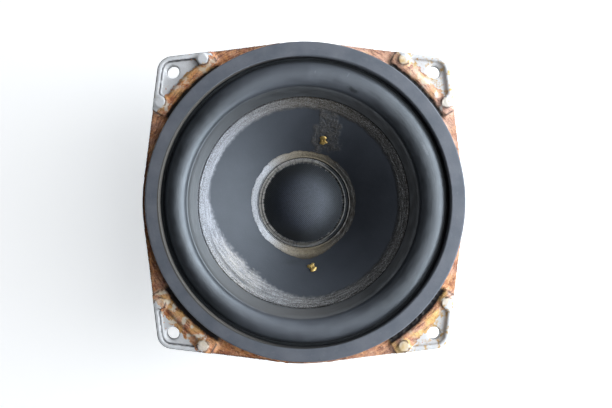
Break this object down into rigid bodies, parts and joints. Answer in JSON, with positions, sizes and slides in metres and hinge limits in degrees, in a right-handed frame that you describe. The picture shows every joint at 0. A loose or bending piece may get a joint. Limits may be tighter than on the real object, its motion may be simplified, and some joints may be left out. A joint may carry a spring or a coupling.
{
  "type": "loudspeaker driver",
  "caption": "Cone loudspeaker driver with a cast square frame, rubber ring gasket, half-roll surround, dark cone, fabric dust cap and ring magnet.",
  "frame": {"origin": "centre of the back plate's rear face, on the cone's axis", "axes": "+Z along the cone's axis, out of the cone; +X towards the terminals"},
  "size_m": [0.126, 0.126, 0.075],
  "materials": {
    "cast_aluminium": "rough cast, with old brown cement",
    "gasket_rubber": "matt, finely grained",
    "surround_rubber": "satin",
    "spider_cloth": "resin-stiffened weave",
    "plated_steel": "zinc plated",
    "ferrite": "ground, matt",
    "screw_steel": "zinc plated",
    "board_laminate": "paper laminate",
    "rivet_metal": "bright",
    "brass": "dull, a little tarnished",
    "lead_braid": "braided tinsel",
    "cone_paper": "dark, with brushed coating",
    "neck_adhesive": "brushed, shiny",
    "cap_cloth": "matt weave",
    "former_card": "smooth",
    "coil_wire": "enamelled copper",
    "solder": "smooth"
  },
  "bodies": {
    "frame": {"basket": "cast_aluminium", "front_gasket": "gasket_rubber", "surround": "surround_rubber", "spider": "spider_cloth", "top_plate": "plated_steel", "magnet": "ferrite", "back_plate": "plated_steel", "pole_piece": "plated_steel", "plate_screws": "screw_steel", "terminal_board": "board_laminate", "terminal_rivets": "rivet_metal", "positive_lug": "brass", "negative_lug": "brass", "positive_lead": "lead_braid", "negative_lead": "lead_braid", "lug_solder": "solder"},
    "moving_cone": {"cone": "cone_paper", "neck_glue": "neck_adhesive", "dust_cap": "cap_cloth", "voice_coil_former": "former_card", "voice_coil": "coil_wire", "positive_eyelet": "brass", "negative_eyelet": "brass", "eyelet_solder": "solder"}
  },
  "joints": [
    {"name": "cone_travel", "type": "slide", "parent": "frame", "child": "moving_cone", "axis": [0, 0, 1], "range_m": [-0.004, 0.004], "stiffness_N_per_m": 1200, "deforming": ["surround", "spider", "positive_lead", "negative_lead"]}
  ]
}
